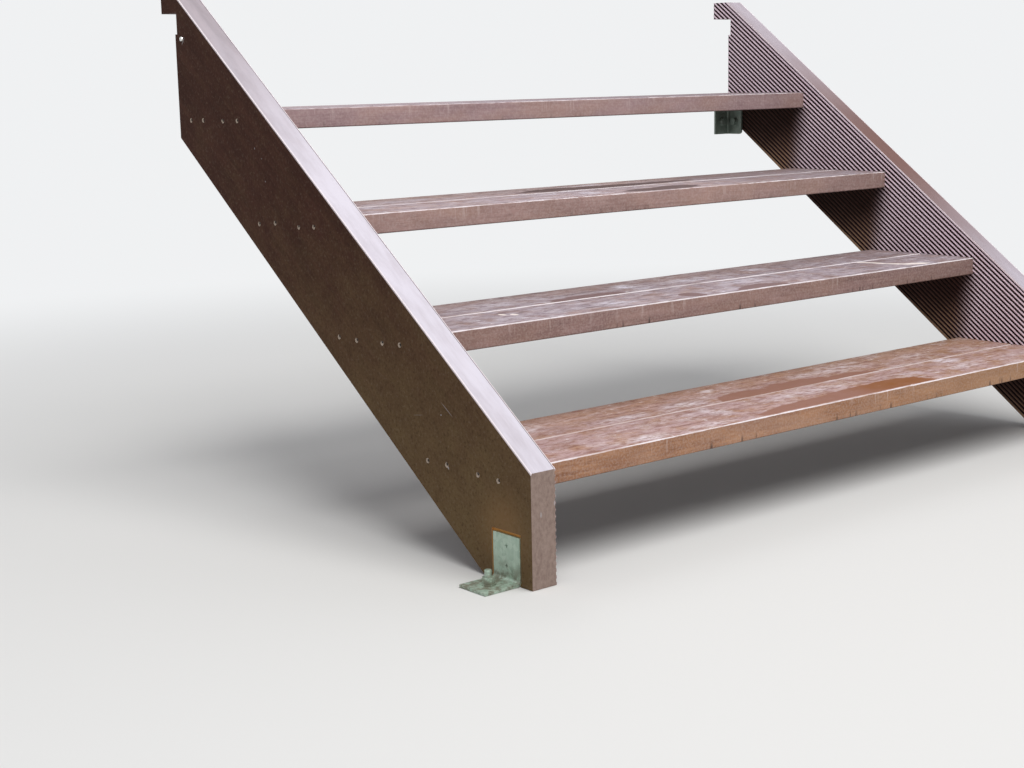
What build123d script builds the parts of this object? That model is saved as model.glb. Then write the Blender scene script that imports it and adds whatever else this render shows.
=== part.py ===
"""Open-riser hardwood deck stairs: two reeded stringers, housed treads and galvanised brackets.

Millimetres, +Z up. The origin is on the plumb cut of the left stringer, half way through its
thickness and level with the top of the highest tread. +Y points into the deck, +X to the right.
"""

import os
from math import atan2, cos, degrees, hypot, sin

from build123d import *

# Setting out of the flight
tread_count = 4
rise = 183.0
going = 247.0
nosing_offset = 246.0       # front edge of the highest tread, in front of the deck's face
clear_width = 1500.0        # between the inner faces of the stringers
edge_margin = 37.5          # stringer's top edge above the nosing line, measured plumb

# Stringers: sawn board, moulded with shallow reeds on the inner face
stringer_depth = 221.0
stringer_thickness = 50.0
front_cut = 1033.0          # plumb front cut, in front of the deck's face
stringer_arris = 2.0
reed_width = 5.7
reed_gap = 3.0
reed_depth = 1.5            # how far a reed stands out of the grooves beside it
reed_side_angle = 50.0
reed_top_margin = 3.0
reed_count = 24

# Head of the stringer, cut over the edge of the deck
horn_length = 50.0          # how far the horn reaches over the deck
horn_height = 40.0          # above the deck's surface
deck_edge_height = 40.0     # depth of the notch for the deck's edge board
deck_edge_overhang = 7.0    # how far the deck's edge board stands out of its face

# Treads: two boards each
board_width = 139.0
board_gap = 3.0
board_thickness = 37.0
board_arris = 2.0
housing_depth = 12.0        # tread ends let into the stringers
deck_face_gap = 2.0         # between the highest tread and the deck's face

# Foot brackets: galvanised flat bar, let into the outer face
foot_bar_width = 65.0
foot_bar_thickness = 5.0
foot_bar_height = 78.0
foot_leg = 70.0
foot_bend = 5.0             # inner radius of the bend
foot_front_margin = 30.0    # plumb front cut to the bar
foot_hole = 6.5             # radius of the anchor's hole
foot_screw_hole = 4.0
foot_screw_spacing = 32.5   # two screws, one above the other, through the upright part
foot_rebate_side = 3.0      # rebate wider than the bar, on each side
foot_rebate_top = 6.0

# Top brackets: short lengths of galvanised angle under the highest tread
angle_leg = 50.0
angle_thickness = 5.0
angle_length = 62.0
angle_gap = 3.0             # under the tread
angle_corner = 8.0
angle_hole = 5.5

# Worked out from the sizes above
pitch = atan2(rise, going)
slope = rise / going
plumb_depth = stringer_depth / cos(pitch)
head_line = edge_margin + slope * nosing_offset   # top edge where it meets the deck's face
deck_level = rise
foot_level = -tread_count * rise
front_level = head_line - slope * front_cut
heel = (head_line - plumb_depth - foot_level) / slope
inner_face = stringer_thickness / 2
outer_face = -stringer_thickness / 2
middle = inner_face + clear_width / 2
tread_length = clear_width + 2 * housing_depth
tread_depth = 2 * board_width + board_gap
reed_pitch = reed_width + reed_gap
reed_bottom_margin = stringer_depth - reed_top_margin - reed_gap - reed_count * reed_pitch
bar_centre = -front_cut + foot_front_margin + foot_bar_width / 2

os.makedirs("parts", exist_ok=True)


def write(builder, name):
    """Label a finished piece and export it under its own name."""
    builder.part.label = name
    export_step(builder.part, f"parts/{name}.step")


def tread_front(number):
    """Y of a tread's front edge; the highest tread is number 1."""
    return -nosing_offset - (number - 1) * going


def tread_top(number):
    """Z of a tread's upper face."""
    return -(number - 1) * rise


def back_board_width(number):
    """The highest tread's back board is ripped to meet the deck's face."""
    if number > 1:
        return board_width
    return nosing_offset - board_width - board_gap - deck_face_gap


# Stringers
# The board is moulded first, square to the pitch, and then cut to its profile.
across_board = Plane(
    origin=(inner_face, 0, head_line),
    x_dir=(1, 0, 0),
    z_dir=(0, -cos(pitch), -sin(pitch)),
)
run_down = hypot(front_cut, front_cut * slope) + plumb_depth
run_up = horn_length + plumb_depth

with BuildPart() as left_stringer:
    with BuildSketch(across_board) as moulding:
        core_thickness = stringer_thickness - reed_depth
        with Locations((-reed_depth - core_thickness / 2, -stringer_depth / 2)):
            Rectangle(core_thickness, stringer_depth)
        with Locations((-reed_depth / 2, -reed_top_margin / 2)):
            Rectangle(reed_depth, reed_top_margin)
        with Locations((-reed_depth / 2, -stringer_depth + reed_bottom_margin / 2)):
            Rectangle(reed_depth, reed_bottom_margin)
        first_reed = reed_top_margin + reed_gap + reed_width / 2
        with Locations([(-reed_depth / 2, -first_reed - i * reed_pitch) for i in range(reed_count)]):
            Trapezoid(reed_width, reed_depth, reed_side_angle, rotation=-90)
        outer_corners = moulding.vertices().group_by(Axis.X)[0]
        fillet(outer_corners, stringer_arris)
    extrude(amount=run_down)
    extrude(moulding.sketch, amount=-run_up)

    with BuildSketch(Plane.YZ.offset(outer_face)) as cuts:
        with BuildLine():
            Polyline(
                (0, deck_level - deck_edge_height),
                (-deck_edge_overhang, deck_level - deck_edge_height),
                (-deck_edge_overhang, deck_level),
                (horn_length, deck_level),
                (horn_length, deck_level + horn_height),
                ((deck_level + horn_height - head_line) / slope, deck_level + horn_height),
                (-front_cut, front_level),
                (-front_cut, foot_level),
                (-heel, foot_level),
                (0, head_line - plumb_depth),
                close=True,
            )
        make_face()
    extrude(amount=stringer_thickness, mode=Mode.INTERSECT)

    # Housings for the tread ends, stopped at each front edge; the highest runs out at the deck's face
    for number in range(1, tread_count + 1):
        housing_width = tread_depth if number > 1 else nosing_offset
        with BuildSketch(Plane.YZ.offset(inner_face - housing_depth)) as housing:
            with Locations((tread_front(number), tread_top(number))):
                Rectangle(housing_width, board_thickness, align=(Align.MIN, Align.MAX))
        extrude(amount=housing_depth, mode=Mode.SUBTRACT)

    # Rebate for the foot bracket, open at the foot
    rebate_height = foot_bar_height + foot_rebate_top
    with BuildSketch(Plane.YZ.offset(outer_face)) as rebate:
        with Locations((bar_centre, foot_level)):
            Rectangle(
                foot_bar_width + 2 * foot_rebate_side,
                rebate_height,
                align=(Align.CENTER, Align.MIN),
            )
    extrude(amount=foot_bar_thickness, mode=Mode.SUBTRACT)
write(left_stringer, "left_stringer")

with BuildPart() as right_stringer:
    mirror(left_stringer.part, about=Plane.YZ.offset(middle))
write(right_stringer, "right_stringer")


# Treads
def tread_board(width, front, top):
    """One tread board, its long edges eased, housed in both stringers."""
    with BuildPart() as board:
        with BuildSketch(Plane.YZ.offset(inner_face - housing_depth)) as section:
            with Locations((front, top)):
                Rectangle(width, board_thickness, align=(Align.MIN, Align.MAX))
            fillet(section.vertices(), board_arris)
        extrude(amount=tread_length)
    return board


for number in range(1, tread_count + 1):
    front_edge = tread_front(number)
    front_board = tread_board(board_width, front_edge, tread_top(number))
    write(front_board, f"tread_{number}_front_board")
    back_edge = front_edge + board_width + board_gap
    back_board = tread_board(back_board_width(number), back_edge, tread_top(number))
    write(back_board, f"tread_{number}_back_board")


# Foot brackets: bar in the rebate, bent outwards over the footing and bolted down
with BuildPart() as left_foot_bracket:
    bar_inner = outer_face + foot_bar_thickness
    bend_outer = foot_bend + foot_bar_thickness
    with BuildSketch(Plane.XZ.offset(-bar_centre - foot_bar_width / 2)) as bar:
        with BuildLine():
            Polyline(
                (bar_inner, foot_level + foot_bar_height),
                (bar_inner, foot_level),
                (outer_face - foot_leg, foot_level),
                (outer_face - foot_leg, foot_level + foot_bar_thickness),
                (outer_face, foot_level + foot_bar_thickness),
                (outer_face, foot_level + foot_bar_height),
                close=True,
            )
        make_face()
        inner_bend = (outer_face, foot_level + foot_bar_thickness, 0)
        fillet(bar.vertices().sort_by_distance(inner_bend)[0], foot_bend)
        outer_bend = (bar_inner, foot_level, 0)
        fillet(bar.vertices().sort_by_distance(outer_bend)[0], bend_outer)
    extrude(amount=foot_bar_width)
    leg_middle = outer_face - foot_bend - (foot_leg - foot_bend) / 2
    with Locations(Plane((leg_middle, bar_centre, foot_level + foot_bar_thickness))):
        Hole(foot_hole, depth=foot_bar_thickness)
    screw_level = foot_level + bend_outer + (foot_bar_height - bend_outer) / 2
    with Locations(Plane((outer_face, bar_centre, screw_level), z_dir=(-1, 0, 0))):
        with GridLocations(foot_screw_spacing, 1, 2, 1):
            Hole(foot_screw_hole, depth=foot_bar_thickness)
write(left_foot_bracket, "left_foot_bracket")

with BuildPart() as right_foot_bracket:
    mirror(left_foot_bracket.part, about=Plane.YZ.offset(middle))
write(right_foot_bracket, "right_foot_bracket")


# Top brackets: angle in the corner between the stringer and the deck's face
with BuildPart() as left_top_bracket:
    angle_top = -board_thickness - angle_gap
    with BuildSketch(Plane.XY.offset(angle_top)) as angle:
        with BuildLine():
            Polyline(
                (inner_face, 0),
                (inner_face, -angle_leg),
                (inner_face + angle_thickness, -angle_leg),
                (inner_face + angle_thickness, -angle_thickness),
                (inner_face + angle_leg, -angle_thickness),
                (inner_face + angle_leg, 0),
                close=True,
            )
        make_face()
        root = (inner_face + angle_thickness, -angle_thickness, 0)
        fillet(angle.vertices().sort_by_distance(root)[0], angle_thickness)
    extrude(amount=-angle_length)
    lower_front = left_top_bracket.edges().filter_by(Axis.X).group_by(Axis.Y)[0].sort_by(Axis.Z)[0]
    fillet(lower_front, angle_corner)
    hole_level = angle_top - angle_length / 2
    hole_out = angle_thickness + (angle_leg - angle_thickness) / 2
    with Locations(Plane((inner_face + hole_out, -angle_thickness, hole_level), z_dir=(0, -1, 0))):
        Hole(angle_hole, depth=angle_thickness)
    with Locations(Plane((inner_face + angle_thickness, -hole_out, hole_level), z_dir=(1, 0, 0))):
        Hole(angle_hole, depth=angle_thickness)
write(left_top_bracket, "left_top_bracket")

with BuildPart() as right_top_bracket:
    mirror(left_top_bracket.part, about=Plane.YZ.offset(middle))
write(right_top_bracket, "right_top_bracket")

print(f"pitch {degrees(pitch):.2f} degrees, foot at {foot_level:.0f}, heel {heel:.0f}")
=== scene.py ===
from functools import reduce
from math import atan2, cos, hypot, pi, radians
from random import Random

import bmesh
import bpy
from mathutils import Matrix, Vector


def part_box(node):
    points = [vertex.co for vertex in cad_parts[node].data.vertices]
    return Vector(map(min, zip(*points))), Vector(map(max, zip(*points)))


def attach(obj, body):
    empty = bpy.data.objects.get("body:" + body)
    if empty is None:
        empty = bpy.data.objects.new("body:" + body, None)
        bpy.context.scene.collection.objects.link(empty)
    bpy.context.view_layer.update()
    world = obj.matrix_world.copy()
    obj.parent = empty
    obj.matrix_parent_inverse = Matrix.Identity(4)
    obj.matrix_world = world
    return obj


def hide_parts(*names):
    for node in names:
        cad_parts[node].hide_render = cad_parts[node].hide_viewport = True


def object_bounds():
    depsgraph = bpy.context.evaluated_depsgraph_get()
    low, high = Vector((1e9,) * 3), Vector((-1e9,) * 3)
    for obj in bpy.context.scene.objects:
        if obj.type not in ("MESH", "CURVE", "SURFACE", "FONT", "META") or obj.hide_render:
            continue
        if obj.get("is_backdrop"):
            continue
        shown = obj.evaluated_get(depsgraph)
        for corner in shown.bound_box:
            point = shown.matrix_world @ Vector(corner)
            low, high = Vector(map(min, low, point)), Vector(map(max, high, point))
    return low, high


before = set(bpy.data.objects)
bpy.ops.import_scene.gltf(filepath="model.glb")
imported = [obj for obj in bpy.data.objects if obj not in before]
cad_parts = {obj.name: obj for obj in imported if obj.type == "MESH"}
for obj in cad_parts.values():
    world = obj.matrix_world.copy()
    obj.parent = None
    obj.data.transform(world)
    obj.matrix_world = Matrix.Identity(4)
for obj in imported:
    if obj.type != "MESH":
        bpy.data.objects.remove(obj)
cad_low, cad_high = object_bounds()


# Camera
# It stands in front of the foot of the flight, off to its left, a little above the highest tread,
# and looks slightly down along the flight, as in the photograph.
camera_data = bpy.data.cameras.new("camera")
camera_data.sensor_width = 36.0
camera_data.lens = 58.08
camera_data.clip_start = 0.05
camera = bpy.data.objects.new("camera", camera_data)
camera.location = (-1.6084, -2.9037, 0.0495)
camera.rotation_euler = (radians(79.4806), radians(1.1323), radians(-39.8578))
bpy.context.scene.collection.objects.link(camera)
bpy.context.scene.camera = camera


# Light
# An overcast sky: one very broad lamp high in front, a weak one from behind, and an even pale
# world, so that colours render about as they are written.
def soft_lamp(name, place, aim, size, power, tint):
    """A square area lamp at a place, turned towards another."""
    data = bpy.data.lights.new(name, "AREA")
    data.shape = "SQUARE"
    data.size = size
    data.energy = power
    data.color = tint
    lamp = bpy.data.objects.new(name, data)
    lamp.location = place
    direction = Vector(aim) - Vector(place)
    lamp.rotation_euler = direction.to_track_quat("-Z", "Y").to_euler()
    bpy.context.scene.collection.objects.link(lamp)


stair_middle = (cad_low + cad_high) / 2
soft_lamp("sky_lamp", (0.1, -2.7, 3.9), stair_middle, 4.2, 235.0, (1.0, 0.985, 0.97))
soft_lamp("back_lamp", (1.6, 2.4, 3.2), stair_middle, 2.4, 30.0, (0.97, 0.97, 1.0))


def put(value, socket):
    """Link a socket to a value's socket, or set it."""
    if isinstance(value, bpy.types.NodeSocket):
        socket.id_data.links.new(value, socket)
    else:
        socket.default_value = (*value, 1.0) if socket.type == "RGBA" else value


def new_node(kind, *values):
    """A node in the tree of the first socket among some values."""
    beside = next(value for value in values if isinstance(value, bpy.types.NodeSocket))
    return beside.id_data.nodes.new(kind)


def maths(operation, first, second=0.0, clamp=False):
    """One Math node."""
    made = new_node("ShaderNodeMath", first, second)
    made.operation = operation
    made.use_clamp = clamp
    put(first, made.inputs[0])
    put(second, made.inputs[1])
    return made.outputs[0]


def larger(*values):
    """The largest of some values."""
    return reduce(lambda first, second: maths("MAXIMUM", first, second), values)


def mix_shaders(factor, first, second):
    """Two shaders mixed."""
    made = new_node("ShaderNodeMixShader", factor)
    for value, socket in zip((factor, first, second), made.inputs):
        put(value, socket)
    return made.outputs["Shader"]


world = bpy.data.worlds.new("pale_sky")
world.use_nodes = True
world_nodes = world.node_tree.nodes
sky = world_nodes["Background"]
put((0.90, 0.91, 0.94), sky.inputs["Color"])
put(0.34, sky.inputs["Strength"])
backdrop_colour = (0.87, 0.88, 0.89)
backdrop = world_nodes.new("ShaderNodeBackground")
put(backdrop_colour, backdrop.inputs["Color"])
rays = world_nodes.new("ShaderNodeLightPath").outputs
seen = larger(rays["Is Camera Ray"], rays["Is Glossy Ray"], rays["Is Transmission Ray"])
put(mix_shaders(seen, sky.outputs["Background"], backdrop.outputs["Background"]),
    world_nodes["World Output"].inputs["Surface"])
bpy.context.scene.world = world
bpy.context.scene.view_settings.view_transform = "Standard"


# Floor
# A plain pale floor at the level of the stringers' feet. Far out it takes the backdrop's colour,
# so that no horizon shows.
foot_level = cad_low.z
haze_from, haze_to = 1.0, 3.6


def times(*values):
    """Values multiplied together."""
    return reduce(lambda first, second: maths("MULTIPLY", first, second), values)


def ramp(value, low, high, end=1.0, start=0.0):
    """A value taken smoothly from start at low to end at high."""
    made = new_node("ShaderNodeMapRange", value)
    made.interpolation_type = "SMOOTHSTEP"
    for setting, socket in zip((value, low, high, start, end), made.inputs):
        put(setting, socket)
    return made.outputs["Result"]


def new_material(name, roughness, specular):
    """A material, with its Principled shader and its Object coordinates."""
    material = bpy.data.materials.new(name)
    material.use_nodes = True
    nodes = material.node_tree.nodes
    shader = nodes["Principled BSDF"]
    put(roughness, shader.inputs["Roughness"])
    put(specular, shader.inputs["Specular IOR Level"])
    return material, shader, nodes.new("ShaderNodeTexCoord").outputs["Object"]


def deselect_all():
    """Leave nothing selected."""
    bpy.ops.object.select_all(action="DESELECT")


deselect_all()
bpy.ops.mesh.primitive_plane_add(size=60.0, location=(0.0, 0.0, foot_level - 0.0005))
floor = bpy.context.object
floor.name = "floor"
bpy.ops.object.transform_apply(location=True, rotation=True, scale=True)
floor_material, shader, place = new_material("pale_floor", 0.9, 0.2)
put((0.74, 0.74, 0.73), shader.inputs["Base Color"])
from_stairs = new_node("ShaderNodeVectorMath", place)
from_stairs.operation = "DISTANCE"
put(place, from_stairs.inputs[0])
put((stair_middle.x, stair_middle.y, foot_level), from_stairs.inputs[1])
rays = new_node("ShaderNodeLightPath", place).outputs
seen = larger(rays["Is Camera Ray"], rays["Is Glossy Ray"])
haze = new_node("ShaderNodeEmission", place)
put(backdrop_colour, haze.inputs["Color"])
far_out = times(ramp(from_stairs.outputs["Value"], haze_from, haze_to), seen)
put(mix_shaders(far_out, shader.outputs["BSDF"], haze.outputs["Emission"]),
    floor_material.node_tree.nodes["Material Output"].inputs["Surface"])
floor.data.materials.append(floor_material)
floor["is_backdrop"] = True


# Stringers
# Two deep hardwood boards carry the flight, plain outside and moulded with shallow reeds inside.
# Each is cut plumb at its head and front and level at its foot, notched under a horn at the head,
# housed for the tread ends and rebated for the foot bracket.
rise, going = 0.183, 0.247
pitch = atan2(rise, going)
slope = rise / going
nosing_offset, edge_margin = 0.246, 0.0375
outer_face, inner_face = -0.025, 0.025  # the left board's
board_depth, board_thickness = 0.221, 0.050
middle = 0.775  # halfway between the two boards
outer_reach, inner_reach = middle - outer_face, middle - inner_face
head_line = edge_margin + slope * nosing_offset
front_cut = -1.033
reed_width, reed_gap, reed_depth, reed_count = 0.0057, 0.003, 0.0015, 24
reed_top_margin = 0.003
notch_level, notch_height, notch_reach = rise, 0.040, 0.007
horn_end, horn_height = 0.050, 0.040
tread_thickness, tread_depth = 0.037, 0.281
housing_depth, housing_fit = 0.012, 0.0003
rebate_low, rebate_high = -1.006, -0.935
rebate_top, rebate_depth = foot_level + 0.084, 0.005
recess_radius, recess_end_radius, recess_depth = 0.0042, 0.0020, 0.0042
screw_scatter = 0.003
screw_level = 0.020  # below a tread's top
screws_fore_in = (0.034, 0.086, 0.164, 0.215)
top_screws_fore_in = (0.031, 0.080, 0.155, 0.203)
past, clear = 0.01, 0.1  # how far a cutter reaches past a face, and past the whole board
sideways = (0.0, pi / 2, 0.0)  # turns a rod to lie across the flight


def only(piece):
    """Leave one piece selected and active."""
    deselect_all()
    piece.select_set(True)
    bpy.context.view_layer.objects.active = piece


def open_mesh(piece):
    """Open a piece's mesh for editing, all of it selected."""
    only(piece)
    bpy.ops.object.mode_set(mode="EDIT")
    bpy.ops.mesh.select_all(action="SELECT")


def close_mesh():
    """Close the open mesh."""
    bpy.ops.object.mode_set(mode="OBJECT")


def settle(piece):
    """Put a piece's place, turn and size into its mesh."""
    only(piece)
    bpy.ops.object.transform_apply(location=True, rotation=True, scale=True)


def pick(piece, kind, test):
    """In edit mode, select only the vertices, edges or faces that pass a test."""
    bpy.ops.mesh.select_mode(type=kind)
    bpy.ops.mesh.select_all(action="DESELECT")
    shape = bmesh.from_edit_mesh(piece.data)
    for item in {"VERT": shape.verts, "EDGE": shape.edges, "FACE": shape.faces}[kind]:
        if test(item):
            item.select_set(True)
    shape.select_flush_mode()
    bmesh.update_edit_mesh(piece.data)


def saw(piece, place, outwards):
    """Cut a piece through a plane, remove what lies beyond it and close the cut."""
    open_mesh(piece)
    bpy.ops.mesh.bisect(plane_co=place, plane_no=outwards, use_fill=True, clear_outer=True)
    close_mesh()


def block(low, high):
    """A block between two corners."""
    deselect_all()
    bpy.ops.mesh.primitive_cube_add(size=1.0, location=(Vector(low) + Vector(high)) / 2)
    bpy.context.object.scale = Vector(high) - Vector(low)
    settle(bpy.context.object)
    return bpy.context.object


def rod(place, radius, length, turn=(0.0, 0.0, 0.0), sides=32, end_radius=None):
    """A round rod or cone about a place."""
    deselect_all()
    bpy.ops.mesh.primitive_cone_add(
        vertices=sides,
        radius1=radius,
        radius2=radius if end_radius is None else end_radius,
        depth=length,
        location=place,
        rotation=turn,
    )
    settle(bpy.context.object)
    return bpy.context.object


def join(pieces, name):
    """Join pieces into one mesh."""
    deselect_all()
    for piece in pieces:
        piece.select_set(True)
    bpy.context.view_layer.objects.active = pieces[0]
    if len(pieces) > 1:
        bpy.ops.object.join()
    pieces[0].name = name
    return pieces[0]


def cut_away(piece, cutter):
    """Take a cutter's shape out of a piece."""
    only(piece)
    cut = piece.modifiers.new("cut", "BOOLEAN")
    cut.operation = "DIFFERENCE"
    cut.solver = "EXACT"
    cut.object = cutter
    bpy.ops.object.modifier_apply(modifier=cut.name)
    bpy.data.objects.remove(cutter)


def repeat(piece, count, step, weld=0.0):
    """Repeat a piece in steps, and weld the points that lie closer than a distance."""
    row = piece.modifiers.new("row", "ARRAY")
    row.count = count
    row.use_relative_offset = False
    row.use_constant_offset = True
    row.constant_offset_displace = step
    row.use_merge_vertices = weld > 0.0
    row.merge_threshold = weld
    only(piece)
    bpy.ops.object.modifier_apply(modifier=row.name)


def ease(piece, width, segments, test):
    """Round the edges of a piece that pass a test."""
    open_mesh(piece)
    pick(piece, "EDGE", test)
    bpy.ops.mesh.bevel(offset=width, segments=segments, affect="EDGES", clamp_overlap=True)
    close_mesh()


def outline_edge(edge):
    """True for a sharp outward corner."""
    return len(edge.link_faces) == 2 and edge.is_convex and edge.calc_face_angle() > radians(40)


def smooth(piece):
    """Shade the rounded parts smooth and keep the flats flat."""
    only(piece)
    bpy.ops.object.shade_smooth_by_angle(angle=radians(38))
    flats = piece.modifiers.new("flats", "WEIGHTED_NORMAL")
    flats.keep_sharp = True
    bpy.ops.object.modifier_apply(modifier=flats.name)


def mirrored(piece, name):
    """A copy of a piece for the other side of the flight."""
    only(piece)
    bpy.ops.object.duplicate()
    copy = bpy.context.object
    copy.name = name
    open_mesh(copy)
    bpy.ops.transform.resize(value=(-1.0, 1.0, 1.0), center_override=(middle, 0.0, 0.0))
    bpy.ops.mesh.normals_make_consistent(inside=False)
    close_mesh()
    return copy


def moulded_board():
    """The stringer's board as it leaves the moulder, laid level, its top edge at height 0."""
    reed_pitch = reed_width + reed_gap
    reed_radius = reed_depth / 2 + reed_width ** 2 / (8 * reed_depth)
    first_reed = reed_top_margin + reed_gap + reed_width / 2
    run_down = hypot(front_cut, front_cut * slope) + board_depth / cos(pitch)
    run_up = horn_end + board_depth / cos(pitch)
    groove = inner_face - reed_depth

    deselect_all()
    bpy.ops.mesh.primitive_circle_add(
        vertices=28,
        radius=reed_radius,
        fill_type="NOTHING",
        location=(inner_face - reed_radius, -run_down, -first_reed),
        rotation=(pi / 2, 0.0, 0.0),
    )
    board = bpy.context.object
    settle(board)
    open_mesh(board)
    bpy.ops.mesh.bisect(plane_co=(groove, 0.0, 0.0), plane_no=(1.0, 0.0, 0.0), clear_inner=True)
    lowest = min(v.co.z for v in bmesh.from_edit_mesh(board.data).verts)
    pick(board, "VERT", lambda v: v.co.z < lowest + 1e-5)
    bpy.ops.mesh.extrude_vertices_move(TRANSFORM_OT_translate={"value": (0.0, 0.0, -reed_gap)})
    close_mesh()

    repeat(board, reed_count, (0.0, 0.0, -reed_pitch), weld=0.00005)
    bottom_margin = board_depth - reed_top_margin - reed_gap - reed_count * reed_pitch
    open_mesh(board)
    highest = max(v.co.z for v in bmesh.from_edit_mesh(board.data).verts if len(v.link_edges) == 1)
    pick(board, "VERT", lambda v: v.co.z > highest - 1e-5 and len(v.link_edges) == 1)
    for step in (
        (0.0, 0.0, reed_gap),
        (reed_depth, 0.0, 0.0),
        (0.0, 0.0, reed_top_margin),
        (-board_thickness, 0.0, 0.0),
        (0.0, 0.0, -board_depth),
        (board_thickness, 0.0, 0.0),
        (0.0, 0.0, bottom_margin),
        (-reed_depth, 0.0, 0.0),
    ):
        bpy.ops.mesh.extrude_vertices_move(TRANSFORM_OT_translate={"value": step})
    bpy.ops.mesh.select_all(action="SELECT")
    bpy.ops.mesh.remove_doubles(threshold=0.00005)
    bpy.ops.mesh.select_all(action="SELECT")
    bpy.ops.mesh.edge_face_add()
    bpy.ops.mesh.extrude_region_move(TRANSFORM_OT_translate={"value": (0.0, run_down + run_up, 0.0)})
    bpy.ops.mesh.select_all(action="SELECT")
    bpy.ops.mesh.normals_make_consistent(inside=False)
    close_mesh()

    for face, width, segments in ((outer_face, 0.0020, 3), (inner_face, 0.0010, 2)):
        ease(board, width, segments, lambda edge: edge.calc_length() > 0.5 and all(
            abs(v.co.x - face) < 1e-5 and abs(v.co.z + board_depth / 2) > board_depth / 2 - 1e-5
            for v in edge.verts
        ))
    return board


left_board = moulded_board()
left_board.rotation_euler = (pitch, 0.0, 0.0)
left_board.location = (0.0, 0.0, head_line)
settle(left_board)
saw(left_board, (0.0, front_cut, 0.0), (0.0, -1.0, 0.0))
saw(left_board, (0.0, 0.0, foot_level), (0.0, 0.0, -1.0))
saw(left_board, (0.0, horn_end, 0.0), (0.0, 1.0, 0.0))
saw(left_board, (0.0, 0.0, notch_level + horn_height), (0.0, 0.0, 1.0))
cut_away(left_board, block((-clear, 0.0, -0.6), (clear, 0.4, notch_level)))
cut_away(left_board, block(
    (-clear, -notch_reach, notch_level - notch_height), (clear, 0.2, notch_level)
))
ease(left_board, 0.0006, 2, lambda edge: outline_edge(edge) and all(
    v.co.x < outer_face + 1e-5 for v in edge.verts
))

scatter = Random(11)
screw_places = []
for number in range(4):
    top = -number * rise
    front = -nosing_offset - number * going
    back = front + tread_depth if number else past
    cut_away(left_board, block(
        (inner_face - housing_depth, front - housing_fit, top - tread_thickness - housing_fit),
        (inner_face + past, back + housing_fit, top + housing_fit),
    ))
    for fore_in in screws_fore_in if number else top_screws_fore_in:
        screw_places.append((
            front + fore_in + scatter.uniform(-screw_scatter, screw_scatter),
            top - screw_level + scatter.uniform(-screw_scatter, screw_scatter),
        ))
cut_away(left_board, block(
    (outer_face - past, rebate_low, foot_level - past),
    (outer_face + rebate_depth, rebate_high, rebate_top),
))
recesses = [
    rod((outer_face + recess_depth / 2 - 0.0001, y, z), recess_radius, recess_depth, sideways, 24,
        recess_end_radius)
    for y, z in screw_places
]
cut_away(left_board, join(recesses, "recesses"))
right_board = mirrored(left_board, "right_stringer_board")
left_board.name = "left_stringer_board"


def plus(*values):
    """Values added up."""
    return reduce(lambda first, second: maths("ADD", first, second), values)


def minus(first, second):
    """One value less another."""
    return maths("SUBTRACT", first, second)


def band(value, low, high, soft):
    """1 between low and high, 0 outside."""
    return times(ramp(value, low - soft, low + soft), ramp(value, high + soft, high - soft))


def blend(factor, first, second):
    """Two colours mixed."""
    made = new_node("ShaderNodeMix", factor, first, second)
    made.data_type = "RGBA"
    put(factor, made.inputs[0])
    put(first, made.inputs[6])
    put(second, made.inputs[7])
    return made.outputs[2]


def noise(place, scale, detail=3.0, rough=0.55, twist=0.0):
    """One Noise Texture's value, at one scale or at three."""
    if isinstance(scale, tuple):
        place, scale = stretch(place, scale), 1.0
    made = new_node("ShaderNodeTexNoise", place)
    put(place, made.inputs["Vector"])
    put(scale, made.inputs["Scale"])
    put(detail, made.inputs["Detail"])
    put(rough, made.inputs["Roughness"])
    put(twist, made.inputs["Distortion"])
    return made.outputs["Fac"]


def stretch(place, scale, turn=(0.0, 0.0, 0.0)):
    """A place scaled and then turned."""
    made = new_node("ShaderNodeMapping", place)
    put(place, made.inputs["Vector"])
    put(scale, made.inputs["Scale"])
    put(turn, made.inputs["Rotation"])
    return made.outputs["Vector"]


def parts_of(place):
    """The X, Y and Z of a vector."""
    made = new_node("ShaderNodeSeparateXYZ", place)
    put(place, made.inputs[0])
    return tuple(made.outputs)


def as_place(*values):
    """A vector of three values."""
    made = new_node("ShaderNodeCombineXYZ", *values)
    for value, socket in zip(values, made.inputs):
        put(value, socket)
    return made.outputs["Vector"]


def facing(place):
    """The X, Y and Z of the surface's normal."""
    return parts_of(new_node("ShaderNodeNewGeometry", place).outputs["Normal"])


def new_group(name, inputs, outputs):
    """A shader node group with named inputs and outputs."""
    group = bpy.data.node_groups.new(name, "ShaderNodeTree")
    for direction, sockets in (("INPUT", inputs), ("OUTPUT", outputs)):
        for socket, kind in sockets.items():
            group.interface.new_socket(socket, in_out=direction, socket_type=f"NodeSocket{kind}")
    return group, group.nodes.new("NodeGroupInput").outputs, group.nodes.new("NodeGroupOutput").inputs


def use_group(group, **inputs):
    """Place a node group and give it its inputs by name."""
    made = new_node("ShaderNodeGroup", *inputs.values())
    made.node_tree = group
    for name, value in inputs.items():
        put(value, made.inputs[name])
    return made.outputs


def bump(shader, height, strength, distance):
    """Drive a shader's normal from a height."""
    made = new_node("ShaderNodeBump", height)
    put(strength, made.inputs["Strength"])
    put(distance, made.inputs["Distance"])
    put(height, made.inputs["Height"])
    put(made.outputs["Normal"], shader.inputs["Normal"])


def dress(piece, material):
    """Shade a piece and give it its material."""
    smooth(piece)
    piece.data.materials.clear()
    piece.data.materials.append(material)


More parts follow.
